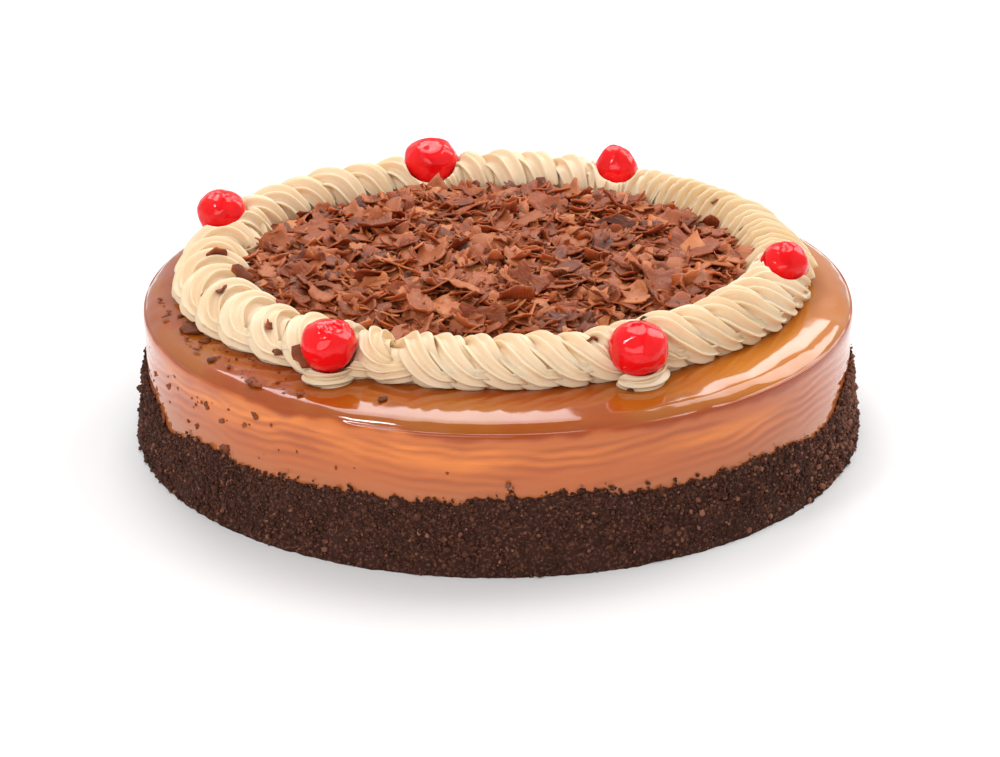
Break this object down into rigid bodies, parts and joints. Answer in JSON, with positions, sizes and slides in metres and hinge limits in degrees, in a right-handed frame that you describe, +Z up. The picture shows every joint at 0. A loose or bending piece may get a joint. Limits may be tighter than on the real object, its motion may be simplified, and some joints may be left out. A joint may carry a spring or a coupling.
{
  "type": "chocolate cake",
  "caption": "Round uncut chocolate cake with a caramel-brown mirror glaze, a crumb-coated foot, a piped cream rope set with glace cherries and a bed of chocolate shavings.",
  "frame": {"origin": "centre of the cake's flat underside", "axes": "+Z up; -Y towards the side that the picture shows; +X to the right in the picture"},
  "size_m": [0.2616, 0.2619, 0.0725],
  "materials": {
    "caramel_glaze": "glossy caramel-chocolate mirror glaze",
    "chocolate_crumb": "rough dark cake crumb",
    "piped_cream": "satin beige buttercream",
    "chocolate_shavings": "satin milk chocolate",
    "glace_cherry": "translucent glossy red syrup-glazed fruit"
  },
  "bodies": {
    "root": {"glazed_body": "caramel_glaze", "crumb_coat": "chocolate_crumb", "cream_rope": "piped_cream", "shavings": "chocolate_shavings", "cherry_1": "glace_cherry", "cherry_2": "glace_cherry", "cherry_3": "glace_cherry", "cherry_4": "glace_cherry", "cherry_5": "glace_cherry", "cherry_6": "glace_cherry"}
  },
  "joints": []
}
